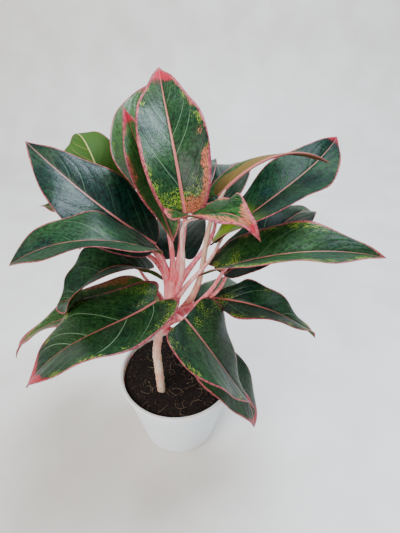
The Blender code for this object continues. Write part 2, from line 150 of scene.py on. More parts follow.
LEAVES = (
    # the upright leaf at the crown, and the ones that stand behind it
    leaf((13, -10, 298), (-11, 101, 381), 228, arch=20, early=0.5, bend=-3, roll=-4, twist=-4,
         width=57, fold=24, curl=-8, lobe=7, full=0.57, taper=1.1, stout=0.75,
         tone=0.25, edge=3.6, blush=1.4, speckle=1.0, flush=1.0, vein=0.6, lean=0.8, fade=0.6,
         girth=1.5, rib="#A85F54", wax=0.24, sheen=0.1, pale=0.45),
    leaf((-4, 24, 280), (-26, 137, 358), 218, arch=0, bend=-18, roll=33, twist=-20, width=69,
         fold=17, lobe=6,
         tone=0.8, edge=1.8, blush=0.35, speckle=0.7, wax=0.1),
    leaf((3, -8, 270), (-39, 60, 360), 224, arch=0, roll=-4, twist=-42, width=42, fold=39,
         lobe=0, full=0.95, taper=1.3, stout=0.75,
         tone=0.7, edge=3.0, blush=0.7, speckle=0.8, flush=0.9, lean=-0.8, pale=0.3),
    leaf((-49, 50, 262), (-101, 115, 316), 206, arch=24, early=-0.9, bend=-6, roll=170, twist=-7,
         width=62, fold=12, full=0.53, taper=0.96,
         tone=0.6, edge=1.2, blush=0.1, sheen=0.2, rib="#A0A060"),
    # the fan on the left
    leaf((-14, 12, 254), (-124, 52, 333), 213, arch=8, early=-0.2, bend=-14, roll=-22, twist=-14,
         width=67, fold=12, curl=-14, lobe=4, full=0.66, taper=1.16,
         tone=0.0, edge=1.3, blush=0.1, speckle=0.0, flush=0.25, vein=0.3, wax=0.2,
         sheen=0.18, rib="#A07068", girth=1.2),
    leaf((-6, -10, 260), (-115, -50, 277), 204, arch=27, early=-0.2, bend=-15, roll=5, twist=-16,
         width=61, fold=21, curl=-8, lobe=-4, full=0.72, taper=0.87,
         tone=0.18, edge=1.4, blush=0.1, speckle=0.4, flush=0.3, vein=0.35, sheen=0.2,
         rib="#8A564C"),
    leaf((-26, 10, 225), (-106, -8, 203), 192, arch=26, early=0.9, bend=-14, roll=4, twist=-22,
         width=64, fold=26, curl=-6, lobe=11, full=0.6, taper=0.75,
         tone=0.2, edge=1.5, blush=0.1, speckle=0.3, flush=0.2, vein=0.3, sheen=0.12),
    leaf((-18, 14, 192), (-163, -14, 131), 177, arch=36, early=-0.3, bend=-18, roll=3, twist=14,
         width=62, fold=19, curl=-4, lobe=0, full=0.42, taper=1.8,
         tone=0.7, edge=3.2, blush=0.8, speckle=1.0, flush=0.2, fade=0.3, backlight_glow=0.5),
    leaf((-14, -24, 218), (-113, -88, 184), 184, arch=19, early=-0.7, bend=-6, roll=4, twist=38,
         width=78, fold=14, curl=-12, lobe=22, full=0.72, taper=0.9,
         tone=0.28, edge=2.4, blush=0.3, speckle=0.9, flush=1.0, vein=0.9, rib="#8E544C"),
    # the ones that hang over the front of the pot
    leaf((12, -41, 215), (77, -64, 118), 181, arch=6, early=0.3, bend=6, roll=-8, twist=-40,
         width=76, fold=14, lobe=7, full=0.38, taper=1.4,
         tone=0.22, edge=2.4, blush=0.4, speckle=0.9, flush=1.0, vein=0.9, rib="#8E544C"),
    leaf((16, -16, 166), (84, -42, 49), 173, arch=14, early=-0.6, bend=-2, roll=5, twist=13,
         fold=5, curl=-16,
         tone=0.22, edge=2.0, blush=0.3, speckle=0.3, flush=1.0),
    # the right side
    leaf((37, 8, 194), (139, -11, 158), 180, arch=25, early=0, bend=15, roll=2, twist=-50, width=49,
         fold=22, lobe=-10, full=0.41, taper=0.98,
         tone=0.16, edge=2.2, blush=0.4, speckle=1.0, flush=0.4, vein=0.5, sheen=0.2),
    leaf((42, -8, 241), (182, -12, 256), 187, arch=16, early=0, bend=5, roll=2, twist=40, width=62,
         fold=28, curl=-6, lobe=20, full=0.62, taper=1.2, swing=1.8, lift=0.8, stout=1.1,
         tone=0.3, edge=2.8, blush=0.6, speckle=1.0, flush=0.4, lean=-0.8, fade=0.9,
         rib="#8A564C"),
    leaf((38, 3, 262), (155, 93, 322), 198, arch=10, early=0.7, bend=14, roll=-10, twist=88,
         width=65, fold=14, lobe=10, full=0.66, taper=0.96,
         tone=0.08, edge=1.5, blush=0.1, speckle=0.3, flush=0.5, vein=0.4, backlight_glow=0.9, pale=0.7,
         sheen=0.1, rib="#9A6258"),
    leaf((40, 9, 302), (138, 49, 314), 184, arch=28, bend=12, roll=-109, twist=-32, width=42,
         fold=84, curl=16, lobe=16, full=0.4, taper=1.22, swing=2, stout=1.05,
         tone=0.5, edge=1.5, blush=0.4, speckle=0.3, flush=0.6, rust=0.7, pale=0.9, olive=0.3),
    leaf((37, 34, 268), (77, 127, 280), 208, arch=19, roll=-18, twist=6, width=57, fold=20, curl=-8,
         tone=0.12, edge=1.4, blush=0.1, speckle=0.2, vein=0.3, wax=0.3),
    leaf((13, 19, 288), (39, 114, 288), 216, arch=16, width=34,
         tone=0.1, edge=1.3),
    leaf((18, -20, 302), (65, -64, 307), 218, arch=14, early=-0.9, bend=2, twist=30, width=54,
         fold=20, lobe=9, full=0.35, taper=1.2, swing=0.4, stout=0.8,
         tone=0.36, edge=3.2, blush=0.8, speckle=0.8, flush=0.8, vein=0.3, pale=1.0, sheen=0.1),
    leaf((46, -2, 230), (147, 94, 238), 188, arch=22, early=-0.7, bend=6, roll=-6, twist=22,
         width=60, fold=15, lobe=6, full=0.48, taper=1, swing=1, lift=1.2,
         tone=0.08, edge=1.4, blush=0.1, speckle=0.1, vein=1.0, sheen=0.12),
    # the back: two that turn their edges forward, and three that hang behind
    leaf((-62, 52, 253), (-138, 77, 257), 218, arch=4, width=30, lift=0.1,
         tone=0.4, blush=0.5, rust=0.4),
    leaf((-60, 50, 239), (-113, 95, 190), 214, arch=12, width=40, lift=0,
         tone=0.3, blush=0.3),
    leaf((4, 28, 228), (6, 132, 200), 196, arch=20, width=54, tone=0.1, speckle=0.1),
    leaf((30, 25, 165), (95, 100, 120), 172, arch=14, width=50, tone=0.3),
    leaf((-30, 24, 168), (-100, 86, 112), 171, arch=18, width=52, tone=0.35),
)


# ---- arrays and meshes ------------------------------------------------------------------------

def unit(vectors):
    return vectors / np.maximum(np.linalg.norm(vectors, axis=-1, keepdims=True), 1e-12)


def lumps(points, size, seed):
    """Smooth noise from -1 to 1: random values on a cubic lattice of the given spacing, blended
    with the weight 3t^2 - 2t^3 along each axis."""
    lattice = np.random.default_rng(seed).uniform(-1, 1, (32, 32, 32))
    place = np.asarray(points, float) / size
    corner = np.floor(place).astype(int)
    t = place - corner
    t = t * t * (3 - 2 * t)
    total = 0.0
    for step in np.ndindex(2, 2, 2):
        weight = np.prod(np.where(np.array(step) == 1, t, 1 - t), axis=-1)
        index = (corner + np.array(step)) % 32
        total = total + weight * lattice[index[..., 0], index[..., 1], index[..., 2]]
    return total


def grid_faces(rows, columns, first=0, around=False):
    """Quads between the points of a grid, row after row. With around, the columns close up."""
    row = np.arange(rows - 1)[:, None] * columns
    column = np.arange(columns if around else columns - 1)[None, :]
    after = (column + 1) % columns
    quads = np.stack(np.broadcast_arrays(row + column, row + after, row + columns + after,
                                         row + columns + column), axis=-1)
    return (quads.reshape(-1, 4) + first).tolist()


def add_piece(name, points, faces, material, stands_for, attributes=None):
    """A smooth piece from points in millimetres. It rides on the root body, stands for the CAD
    nodes named and carries the attributes, one number for each point."""
    mesh = bpy.data.meshes.new(name)
    mesh.from_pydata((np.asarray(points) * MM).tolist(), [], faces)
    for key, values in (attributes or {}).items():
        layer = mesh.attributes.new(key, "FLOAT", "POINT")
        layer.data.foreach_set("value", np.asarray(values, np.float32).ravel())
    mesh.materials.append(material)
    mesh.shade_smooth()
    mesh.validate()
    piece = bpy.data.objects.new(name, mesh)
    bpy.context.collection.objects.link(piece)
    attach(piece, "root")
    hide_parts(*stands_for)
    return piece


# ---- materials --------------------------------------------------------------------------------

SMOOTH = {"interpolation_type": "SMOOTHSTEP"}
TINT = {"data_type": "RGBA"}


def add(tree, kind, *values, out=None, **settings):
    """Adds a node with its settings and links. Each value, or the output that drives it, goes to
    the node's next live input, and None leaves one as it is. Gives the output named, or the
    first live one."""
    made = tree.nodes.new("ShaderNode" + kind)
    for key, value in settings.items():
        setattr(made, key, value)
    live = [socket for socket in made.inputs if socket.enabled]
    for socket, value in zip(live, values):
        if isinstance(value, bpy.types.NodeSocket):
            tree.links.new(value, socket)
        elif value is not None:
            socket.default_value = value
    if out:
        return made.outputs[out]
    return next(socket for socket in made.outputs if socket.enabled)


def new_material(name, **sockets):
    """A Principled material with the given values on its own sockets."""
    material = bpy.data.materials.new(name)
    material.use_nodes = True
    shader = material.node_tree.nodes["Principled BSDF"]
    for key, value in sockets.items():
        shader.inputs[key.replace("_", " ")].default_value = value
    return material, material.node_tree, shader


def leaf_skin(name, look):
    """Living leaf skin, waxy and smooth above and duller below. A deep, uneven green is drawn out
    into streaks along the side veins, and the pigment breaks up into flecks near the margin. The
    flecks are drawn about 1 mm wide, as coarse as they need to be to show."""
    material, tree, shader = new_material(name, IOR=1.42, Specular_IOR_Level=look["sheen"],
                                          Coat_Weight=look["wax"], Coat_Roughness=0.2)
    rib, edge, count, across, upper, shade, speckle, blush, flush, shown, backlight_glow, brim = (
        add(tree, "Attribute", out="Fac", attribute_name=key)
        for key in ("rib_mm", "edge_mm", "vein_count", "across_mm", "upper", "shade", "speckle",
                    "blush", "flush", "shown", "backlight_glow", "brim_mm"))
    field = look["field"]

    # noise drawn out along the side veins, as long streaks and as short flecks
    steps = add(tree, "Math", count, field, operation="MULTIPLY")
    run = add(tree, "Math", across, 1 / STREAK_LENGTH, operation="MULTIPLY")
    streak = add(tree, "TexNoise", add(tree, "CombineXYZ", steps, run), 1.0, 5.0, 0.62)
    run = add(tree, "Math", across, 1 / FLECK_LENGTH, operation="MULTIPLY")
    fleck = add(tree, "TexNoise", add(tree, "CombineXYZ", steps, run), 1.5, 2.0)
    place = add(tree, "TexCoord", out="Object")
    mottle = add(tree, "TexNoise", place, 1 / (MOTTLE_SIZE * MM), 4.0, 0.6)
    depth = add(tree, "Math", add(tree, "Math", streak, mottle, operation="ADD"), 0.5,
                operation="MULTIPLY")

    dark = add(tree, "Mix", add(tree, "MapRange", depth, 0.38, 0.64, **SMOOTH),
               colour("#020B09"), colour("#0C3226"), **TINT)
    fresh = add(tree, "Mix", add(tree, "MapRange", depth, 0.36, 0.66, **SMOOTH),
                colour("#12350F"), colour("#48722A"), **TINT)
    body = add(tree, "Mix", shade, dark, fresh, **TINT)
    # painted glow: the base is mixed towards yellow-green, standing in for light shining through
    # the blade
    body = add(tree, "Mix", backlight_glow, body, colour("#7C9A18"), **TINT)

    # yellow-green flecks and salmon mottling, both where the fleck noise passes a mark that
    # falls as their share rises
    share = add(tree, "MapRange", speckle, 0.0, 1.0, 0.78, 0.52)
    flecks = add(tree, "MapRange", add(tree, "Math", fleck, share, operation="SUBTRACT"),
                 0.0, 0.06, **SMOOTH)
    body = add(tree, "Mix", flecks, body, colour("#93A92E"), **TINT)
    share = add(tree, "MapRange", blush, 0.0, 1.0, 0.8, 0.45)
    mottled = add(tree, "MapRange", add(tree, "Math", fleck, share, operation="SUBTRACT"),
                  -0.02, 0.1, 0.0, 0.85, **SMOOTH)
    body = add(tree, "Mix", mottled, body, colour("#C8604A"), **TINT)

    # pale side veins, only where one shows: a whole count is the middle of a vein
    between = add(tree, "Math", add(tree, "Math", count, 0.5, operation="ADD"), operation="FRACT")
    aside = add(tree, "Math", add(tree, "Math", between, 0.5, operation="SUBTRACT"),
                operation="ABSOLUTE")
    line = add(tree, "MapRange", aside, 0.36 / field, 0.08 / field, **SMOOTH)
    line = add(tree, "Math", line, shown, operation="MULTIPLY")
    body = add(tree, "Mix", line, body, colour("#9DBE96"), **TINT)

    # the red of the tip breaks up where it ends
    red = add(tree, "MapRange", add(tree, "Math", fleck, flush, operation="ADD"),
              0.84, 1.04, **SMOOTH)
    body = add(tree, "Mix", red, body, colour("#A41632"), **TINT)

    # the underside: plainer, with tan veins
    below = add(tree, "Mix", streak, colour("#203B0F"), colour("#3E5C1B"), **TINT)
    below = add(tree, "Mix", look["rust"], below, colour("#6E4A1C"), **TINT)
    below = add(tree, "Mix", line, below, colour("#C8A060"), **TINT)
    skin = add(tree, "Mix", upper, below, body, **TINT)

    # the pink margin and midrib, on both faces
    rim = add(tree, "MapRange", add(tree, "Math", brim, edge, operation="SUBTRACT"),
              -0.35, 0.35, **SMOOTH)
    pink = add(tree, "Mix", add(tree, "MapRange", mottle, 0.35, 0.65, **SMOOTH),
               colour("#762A37"), colour("#A8585A"), **TINT)
    skin = add(tree, "Mix", rim, skin, pink, **TINT)
    along = add(tree, "Attribute", out="Fac", attribute_name="along")
    girth = add(tree, "MapRange", along, 0.0, 1.0, look["girth"], 0.15)
    middle = add(tree, "MapRange", add(tree, "Math", girth, rib, operation="SUBTRACT"),
                 -0.25, 0.25, **SMOOTH)
    pink = add(tree, "Mix", add(tree, "MapRange", along, 0.0, 0.6, **SMOOTH),
               colour("#BC6C68"), look["rib"], **TINT)
    skin = add(tree, "Mix", middle, skin, pink, **TINT)
    tree.links.new(skin, shader.inputs["Base Color"])

    rough = add(tree, "MapRange", upper, 0.2, 0.8, 0.55, 0.24, **SMOOTH)
    rough = add(tree, "Math", rough, add(tree, "Math", streak, 0.25, operation="MULTIPLY"),
                operation="ADD")
    tree.links.new(rough, shader.inputs["Roughness"])
    relief = add(tree, "Bump", 1.0, 0.5 * MM, None, depth)
    tree.links.new(relief, shader.inputs["Normal"])
    tree.links.new(relief, shader.inputs["Coat Normal"])
    return material


def stalk_skin():
    """Smooth fleshy stalk: rose by the cane, and on some leaves pale straw pink or greenish."""
    material, tree, shader = new_material("fleshy_stalk", Roughness=0.38, IOR=1.42,
                                          Subsurface_Weight=0.15, Subsurface_Scale=1.5 * MM)
    tint = add(tree, "Attribute", out="Fac", attribute_name="tint")
    olive = add(tree, "Attribute", out="Fac", attribute_name="olive")
    place = add(tree, "TexCoord", out="Object")
    place = add(tree, "Mapping", place, None, None, (1, 1, 0.2))
    streak = add(tree, "MapRange", add(tree, "TexNoise", place, 1 / (2.4 * MM), 3.0),
                 0.35, 0.65, **SMOOTH)
    rose = add(tree, "Mix", streak, colour("#E45566"), colour("#EF8A90"), **TINT)
    pale = add(tree, "Mix", streak, colour("#E09A90"), colour("#F3D2C4"), **TINT)
    skin = add(tree, "Mix", tint, rose, pale, **TINT)
    skin = add(tree, "Mix", olive, skin, colour("#A8A058"), **TINT)
    tree.links.new(skin, shader.inputs["Base Color"])
    return material


def cane_bark():
    """Young smooth bark: pale tan, pink towards the crown, with a faint brown ring at each leaf
    scar."""
    material, tree, shader = new_material("tan_cane", Roughness=0.5, IOR=1.45,
                                          Subsurface_Weight=0.1, Subsurface_Scale=1.5 * MM)
    scar = add(tree, "Attribute", out="Fac", attribute_name="scar")
    high = add(tree, "Attribute", out="Fac", attribute_name="along")
    place = add(tree, "TexCoord", out="Object")
    place = add(tree, "Mapping", place, None, None, (1, 1, 0.25))
    streak = add(tree, "TexNoise", place, 1 / (4 * MM), 4.0)
    bark = add(tree, "Mix", add(tree, "MapRange", streak, 0.35, 0.65, **SMOOTH),
               colour("#EDAF90"), colour("#FBDCC6"), **TINT)
    bark = add(tree, "Mix", add(tree, "MapRange", high, 0.45, 0.9, **SMOOTH), bark,
               colour("#EC8C8C"), **TINT)
    bark = add(tree, "Mix", add(tree, "MapRange", scar, 0.55, 0.95, 0.0, 0.35, **SMOOTH), bark,
               colour("#A0745C"), **TINT)
    tree.links.new(bark, shader.inputs["Base Color"])
    relief = add(tree, "Bump", 1.0, 0.12 * MM, None, streak)
    tree.links.new(relief, shader.inputs["Normal"])
    return material


def potting_mix():
    """Coir and peat, damp and crumbly: nearly black, matt, with browner crumbs."""
    material, tree, shader = new_material("coir_mix", Roughness=0.92, IOR=1.4)
    place = add(tree, "TexCoord", out="Object")
    crumb = add(tree, "TexNoise", place, 1 / (1.6 * MM), 4.0)
    patch = add(tree, "TexNoise", place, 1 / (9 * MM), 3.0)
    earth = add(tree, "Mix", add(tree, "MapRange", crumb, 0.4, 0.7, **SMOOTH),
                colour("#0B0706"), colour("#281B17"), **TINT)
    earth = add(tree, "Mix", add(tree, "MapRange", patch, 0.5, 0.8, 0.0, 0.4, **SMOOTH), earth,
                colour("#1B120E"), **TINT)
    tree.links.new(earth, shader.inputs["Base Color"])
    relief = add(tree, "Bump", 1.0, 0.5 * MM, None, crumb)
    tree.links.new(relief, shader.inputs["Normal"])
    return material


def coir_fibre():
    """Dry coconut fibre: straw to brown, matt."""
    material, tree, shader = new_material("coir_fibre", Roughness=0.8, IOR=1.45)
    place = add(tree, "TexCoord", out="Object")
    fibre = add(tree, "Mix", add(tree, "TexNoise", place, 1 / (8 * MM), 1.0),
                colour("#6A5040"), colour("#C8B090"), **TINT)
    tree.links.new(fibre, shader.inputs["Base Color"])
    return material


def bark_chip():
    """Bits of bark in the mix: dull browns."""
    material, tree, shader = new_material("bark_chip", Roughness=0.85, IOR=1.45)
    place = add(tree, "TexCoord", out="Object")
    patch = add(tree, "TexNoise", place, 1 / (5 * MM), 1.0)
    chip = add(tree, "Mix", add(tree, "MapRange", patch, 0.4, 0.6, **SMOOTH),
               colour("#181010"), colour("#4A3226"), **TINT)
    tree.links.new(chip, shader.inputs["Base Color"])
    return material


def pot_plastic():
    """Thin injection-moulded polypropylene: milky white with a cool cast, where light soaks in."""
    material, tree, shader = new_material("milky_polypropylene", Roughness=0.36, IOR=1.49,
                                          Subsurface_Weight=0.35, Subsurface_Scale=4 * MM)
    place = add(tree, "TexCoord", out="Object")
    haze = add(tree, "TexNoise", place, 1 / (22 * MM), 3.0)
    milk = add(tree, "Mix", haze, colour("#EDF1F6"), colour("#FBFCFD"), **TINT)
    tree.links.new(milk, shader.inputs["Base Color"])
    ripple = add(tree, "TexNoise", place, 1 / (1.2 * MM), 3.0)
    relief = add(tree, "Bump", 1.0, 0.03 * MM, None, ripple)
    tree.links.new(relief, shader.inputs["Normal"])
    return material


# ---- leaf blades ------------------------------------------------------------------------------

def midrib_point(shape, along):
    """Middle line of a blade: the chord from base to tip plus an upward and a sideways bow. The
    upward bow blends 4a(1-a), fullest in the middle, with a cubic that is fullest at a third of
    the way or, where early is negative, at two thirds."""
    chord = shape["tip"] - shape["base"]
    side = unit(np.cross(chord, (0, 0, 1)))
    up = unit(np.cross(side, chord))
    a = np.asarray(along, float)[..., None]
    even = 4 * a * (1 - a)
    skewed = 6.75 * a * (1 - a) ** 2 if shape["early"] > 0 else 6.75 * a ** 2 * (1 - a)
    share = abs(shape["early"])
    bow = (1 - share) * even + share * skewed
    return shape["base"] + chord * a + up * shape["arch"] * bow + side * shape["bend"] * even


def midrib_frame(shape, along):
    """Unit vectors along the midrib, to the blade's right and out of its upper face."""
    step = 0.001
    ahead = unit(midrib_point(shape, along + step) - midrib_point(shape, along - step))
    level = unit(np.cross(shape["tip"] - shape["base"], (0, 0, 1)))
    side = unit(level - (ahead @ level)[..., None] * ahead)
    out = np.cross(side, ahead)
    turn = (shape["roll"] + shape["twist"] * (np.clip(along, 0, 1) - 0.4))[..., None]
    return ahead, np.cos(turn) * side - np.sin(turn) * out, np.sin(turn) * side + np.cos(turn) * out


def half_width(shape, s):
    """Half the blade's width: proportional to s^full (1-s)^taper, with its peak at full width."""
    full, taper = shape["full"], shape["taper"]
    peak = full / (full + taper)
    top = peak ** full * (1 - peak) ** taper
    return shape["width"] / 2 * s ** full * (1 - s) ** taper / top


def blade_point(shape, s, v):
    """Middle surface of a blade. Each half leaves the midrib at the fold angle and curls by its
    margin as an arc, the margin's waves grow with the square of the way across, and the rows by
    the base sweep back into the lobes."""
    s, v = np.broadcast_arrays(np.asarray(s, float), np.asarray(v, float))
    reach = np.abs(v)
    length = np.linalg.norm(shape["tip"] - shape["base"])
    sweep = (s / LOBE_REACH) * np.exp(1 - s / LOBE_REACH) * reach ** 1.3
    place = s - shape["lobe"] / length * sweep
    half = half_width(shape, s)
    fold, curl = shape["fold"], shape["curl"]
    sideways = np.sign(v) * half * (np.sin(fold + curl * reach) - np.sin(fold)) / curl
    rise = half * (np.cos(fold) - np.cos(fold + curl * reach)) / curl
    swing = np.sin(2 * math.pi * shape["ripples"] * s + 0.8 * np.sign(v))
    rise = rise + shape["wave"] * reach ** 2 * swing * np.minimum(1, 8 * s * (1 - s))
    ahead, side, out = midrib_frame(shape, place)
    return midrib_point(shape, place) + side * sideways[..., None] + out * rise[..., None]


def vein_phase(s, v):
    """Counts the side veins from the base. Each leaves the midrib forwards and bends to the tip
    by the margin, and the two halves are out of step."""
    reach = np.abs(v)
    start = s - 0.27 * reach - 0.10 * reach ** 3
    return VEINS * start + np.where(v > 0, 0.5, 0.0)


def smooth_step(values, low, high):
    """0 at low, 1 at high and 3t^2 - 2t^3 between them; low may be the larger."""
    t = np.clip((values - low) / (high - low), 0, 1)
    return t * t * (3 - 2 * t)


def pigments(shape, seed, middle, s, v, edge_mm, phase):
    """How strongly each pigment shows at each point, from 0 to 1, with the painted glow of light
    through the base, and the pink brim's width in millimetres. Clouds and patches come from smooth
    noise. The flecks keep near the margin and the base, the blush reaches in from the margin and
    the red back from the tip by an uneven distance, and each side vein shows, or doesn't, along its
    whole length."""
    cloud = 0.5 + 0.5 * lumps(middle, 17.0, seed) + 0.25 * lumps(middle, 6.0, seed + 1)
    patch = 0.5 + 0.6 * lumps(middle, 8.0, seed + 2)
    leaning = np.clip(1 + np.sign(v) * shape["lean"], 0.12, 1)
    near = np.maximum(smooth_step(edge_mm, 13, 2), smooth_step(s, 0.3, 0.05))
    reach = 17 * shape["blush"] * cloud * leaning * (1 - shape["fade"] * smooth_step(s, 0.3, 0.6))
    draw = np.random.default_rng(seed + 3).uniform(0, 1, 64)
    vein = draw[(np.round(phase).astype(int) + 20 + 30 * (v > 0)) % 64]
    tip = s + 0.1 * (patch - 0.5) - 0.008 * edge_mm
    return {
        "shade": np.clip(shape["tone"] + 0.35 * (cloud - 0.5), 0, 1),
        "speckle": shape["speckle"] * near * smooth_step(patch, 0.1, 0.7),
        "blush": smooth_step(reach - edge_mm, -2, 6) * min(1, shape["blush"] * 1.5),
        "flush": shape["flush"] * smooth_step(tip, 0.96 - 0.3 * shape["flush"],
                                              1.0 - 0.06 * shape["flush"]),
        "shown": 0.6 * shape["vein"] * smooth_step(vein, 0.55, 0.95) * smooth_step(edge_mm, 3, 10),
        # painted glow of light shining through the blade: strongest at the base, weaker on one half
        "backlight_glow": shape["backlight_glow"] * smooth_step(s, 0.3, 0.16) * np.where(v > 0, 0.35, 1.0),
        "brim_mm": shape["edge"] * np.clip(0.217 + 0.682 * cloud, 0.186, 0.93)}


def add_blade(number, shape):
    """A thin blade: the middle surface moved out both ways by half its thickness, which thins to
    the margin. Above, the midrib and side veins are shallow furrows with the fields between them
    swelling, and below, the midrib is a rounded keel."""
    t = np.linspace(0, 1, BLADE_ROWS)
    s = (0.35 * t + 0.65 * (1 - np.cos(math.pi * t)) / 2)[1:-1, None]
    w = np.linspace(-1, 1, BLADE_COLUMNS)
    v = (0.75 * w + 0.25 * w ** 3)[None, :]
    middle = blade_point(shape, s, v)
    across = np.gradient(middle, axis=1)
    down = np.gradient(middle, axis=0)
    normal = unit(np.cross(across, down))
    ends = blade_point(shape, np.array([0.0, 1.0]), np.array([0.0, 0.0]))

    half = half_width(shape, s)
    rib_mm = np.abs(v) * half
    edge_mm = (1 - np.abs(v)) * half
    phase = vein_phase(s, v)
    vein_mm = np.abs(phase - np.round(phase)) * shape["field"]
    inner = np.clip(edge_mm / 4, 0, 1) * np.clip(rib_mm / 2, 0, 1)
    swell = FIELD_SWELL * inner * (1 - np.exp(-(vein_mm / 1.6) ** 2)) - 0.1
    furrow = FURROW_DEPTH * (1 - 0.7 * s) * np.exp(-(rib_mm / 1.5) ** 2)
    thick = BLADE_THICKNESS * (0.45 + 0.55 * np.clip(edge_mm / 2.5, 0, 1))
    keel = RIB_DEPTH * (1 - 0.85 * s) * np.exp(-(rib_mm / (1.7 - 0.9 * s)) ** 2)
    relief = lumps(middle, 13.0, 40 + number) * 0.35 * np.clip(rib_mm / 5, 0, 1)
    above = middle + normal * (thick / 2 + swell - furrow + relief)[..., None]
    below = middle - normal * (thick / 2 - swell + keel - relief)[..., None]

    rows, columns = above.shape[:2]
    count = rows * columns
    points = np.concatenate((above.reshape(-1, 3), below.reshape(-1, 3), ends))
    faces = grid_faces(rows, columns)
    faces += np.array(grid_faces(rows, columns, count))[:, ::-1].tolist()

    # fans of triangles close both faces to the two end points, quads close the margins, and one
    # triangle fills each corner that is left
    base, tip = 2 * count, 2 * count + 1
    column = np.arange(columns - 1)
    foot = (rows - 1) * columns
    for end, one, other in ((base, column + 1, column),
                            (base, column + count, column + 1 + count),
                            (tip, foot + column, foot + column + 1),
                            (tip, foot + column + 1 + count, foot + column + count)):
        faces += np.column_stack((np.full(columns - 1, end), one, other)).tolist()
    left = np.arange(rows - 1) * columns
    faces += np.column_stack((left, left + columns, left + columns + count, left + count)).tolist()
    right = left + columns - 1
    faces += np.column_stack((right, right + count, right + columns + count,
                              right + columns)).tolist()
    near, far = columns - 1, foot + columns - 1
    faces += [(base, 0, count), (base, near + count, near),
              (tip, foot + count, foot), (tip, far, far + count)]

    def both(values, at_base, at_tip):
        """The same values for both faces, with one for each end point."""
        flat = np.broadcast_to(values, (rows, columns)).ravel()
        return np.concatenate((flat, flat, (at_base, at_tip)))

    marks = {
        "along": both(s, 0, 1), "rib_mm": both(rib_mm, 0, 0), "edge_mm": both(edge_mm, 0, 0),
        "vein_count": both(phase, phase[0, 0], phase[-1, 0]), "across_mm": both(v * half, 0, 0),
        "upper": np.concatenate((np.ones(count), np.zeros(count), (0.5, 0.5)))}
    for key, values in pigments(shape, 200 + 10 * number, middle, s, v, edge_mm, phase).items():
        values = np.broadcast_to(values, (rows, columns))
        marks[key] = both(values, values[0].mean(), values[-1].mean())
    add_piece("blade_%02d" % number, points, faces, leaf_skin("leaf_skin_%02d" % number, shape),
              ["leaf_%02d" % number], marks)


# ---- cane and stalks --------------------------------------------------------------------------

def smooth_line(points, steps):
    """Evenly spaced points on a Catmull-Rom curve through the given ones, and the run so far."""
    padded = np.vstack((2 * points[0] - points[1], points, 2 * points[-1] - points[-2]))
    pieces = []
    for first in range(len(points) - 1):
        p, q, r, s = padded[first:first + 4]
        t = np.linspace(0, 1, 20, endpoint=False)[:, None]
        pieces.append(0.5 * (2 * q + (r - p) * t + (2 * p - 5 * q + 4 * r - s) * t ** 2
                             + (3 * q - p - 3 * r + s) * t ** 3))
    line = np.vstack(pieces + [points[-1:]])
    length = np.concatenate(([0], np.cumsum(np.linalg.norm(np.diff(line, axis=0), axis=1))))
    even = np.linspace(0, length[-1], steps)
    return np.column_stack([np.interp(even, length, line[:, axis]) for axis in range(3)]), even


def tube(line, radii, upward=(0.3, 0.9, 0.2)):
    """Points and faces of a closed tube: each ring lies square to the line at its own radii, one
    for each corner, counted from the side that faces upward, and each end closes to a point."""
    radii = np.atleast_2d(radii)
    sides = radii.shape[1]
    ahead = unit(np.gradient(line, axis=0))
    top = unit(np.broadcast_to(np.asarray(upward, float), line.shape)
               - np.sum(ahead * np.asarray(upward, float), axis=1)[:, None] * ahead)
    other = np.cross(ahead, top)
    angles = np.arange(sides) * 2 * math.pi / sides
    turn = (np.cos(angles)[None, :, None] * top[:, None] + np.sin(angles)[None, :, None]
            * other[:, None])
    rings = line[:, None] + turn * radii[..., None]
    count = len(line) * sides
    points = np.concatenate((rings.reshape(-1, 3), line[:1], line[-1:]))
    step = np.arange(sides)
    after = (step + 1) % sides
    foot = np.column_stack((np.full(sides, count), after, step))
    head = np.column_stack((np.full(sides, count + 1), count - sides + step, count - sides + after))
    return points, grid_faces(len(line), sides, around=True) + foot.tolist() + head.tolist()


def add_cane():
    """The cane: full by the soil and slimmer at the crown, with a narrow ring at each leaf scar,
    the tenth power of a cosine along it. Smooth noise, read on an even tube, makes its girth
    slightly uneven."""
    line, run = smooth_line(CANE_LINE, 240)
    sides = 32
    along = run / run[-1]
    slim = CANE_RADIUS + (CROWN_RADIUS - CANE_RADIUS) * along ** 2
    scar = np.maximum(0, np.cos(2 * math.pi * run / NODE_SPACING)) ** 10
    radii = np.repeat((slim + SCAR_HEIGHT * scar)[:, None], sides, axis=1)
    even, _ = tube(line, radii)
    radii = radii + 0.3 * lumps(even[:-2].reshape(len(line), sides, 3), 7.0, 3)
    points, faces = tube(line, radii)

    def ringed(values):
        """One value for each ring, spread over its points, and the two ends."""
        return np.concatenate((np.repeat(values, sides), values[[0, -1]]))

    add_piece("cane", points, faces, cane_bark(), ["stem"],
              {"scar": ringed(scar), "along": ringed(along)})


